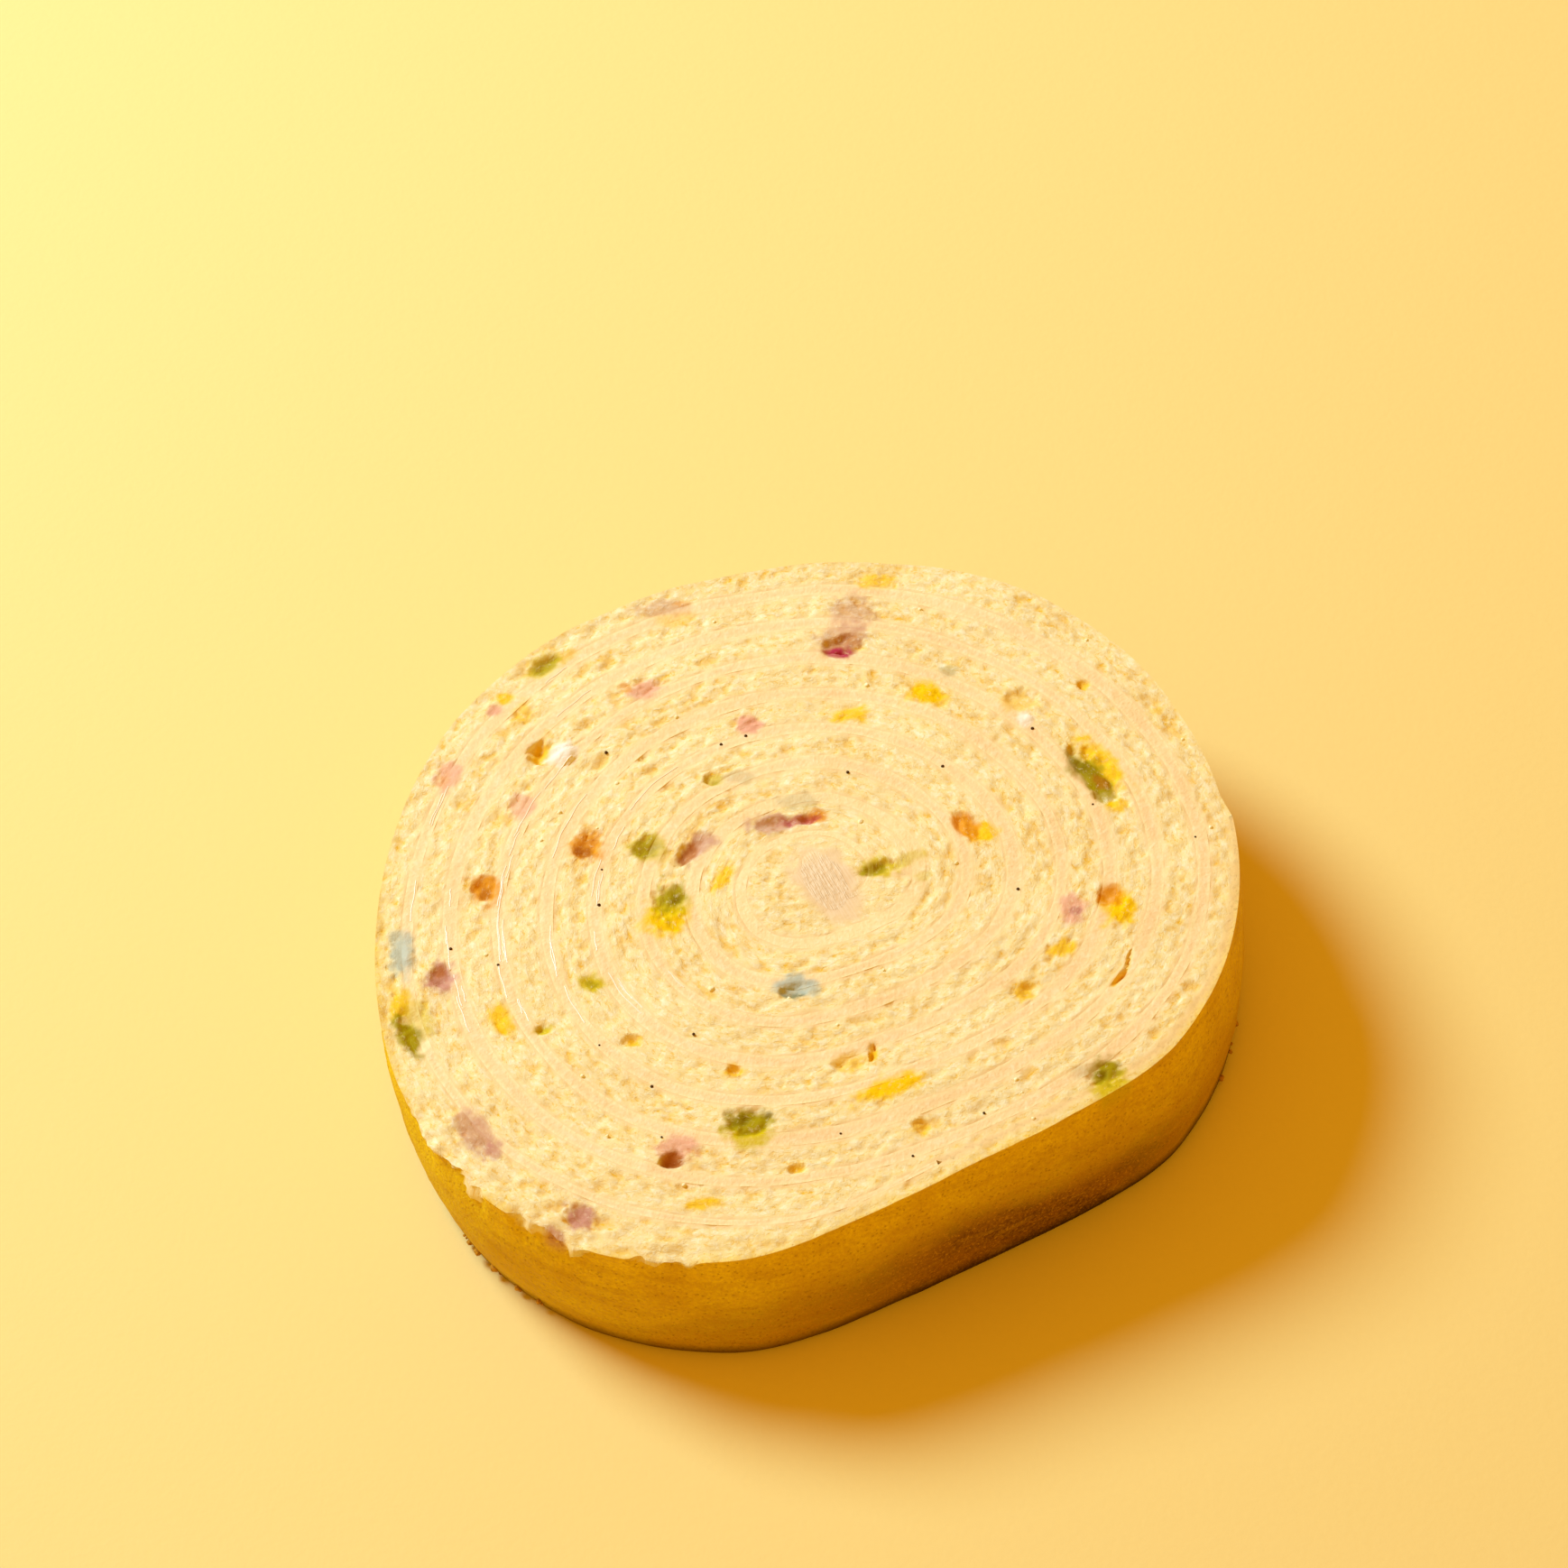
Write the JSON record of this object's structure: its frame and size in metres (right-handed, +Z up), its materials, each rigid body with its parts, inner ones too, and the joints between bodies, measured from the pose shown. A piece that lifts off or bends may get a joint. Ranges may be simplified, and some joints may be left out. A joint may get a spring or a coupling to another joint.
{
  "type": "swiss roll cake slice",
  "caption": "Thin slice of a rolled vanilla sponge cake lying on its cut face, with a spiral of pale cream filling and small coloured sweets in the crumb.",
  "frame": {"origin": "middle of the slice's bounding box, on the plane that the lower cut face rests on", "axes": "+Z up, at right angles to the lower cut face; the roll's core line leans slightly from it; -Y is the side shown to the viewer; the filling winds anticlockwise outwards seen from above, and turn 0 points along +X"},
  "size_m": [0.0838, 0.0822, 0.0188],
  "materials": {
    "sponge": "matt, open crumb with a golden skin round the rim",
    "filling": "satin, dense cream"
  },
  "bodies": {
    "root": {"sponge": "sponge", "filling": "filling"}
  },
  "joints": []
}
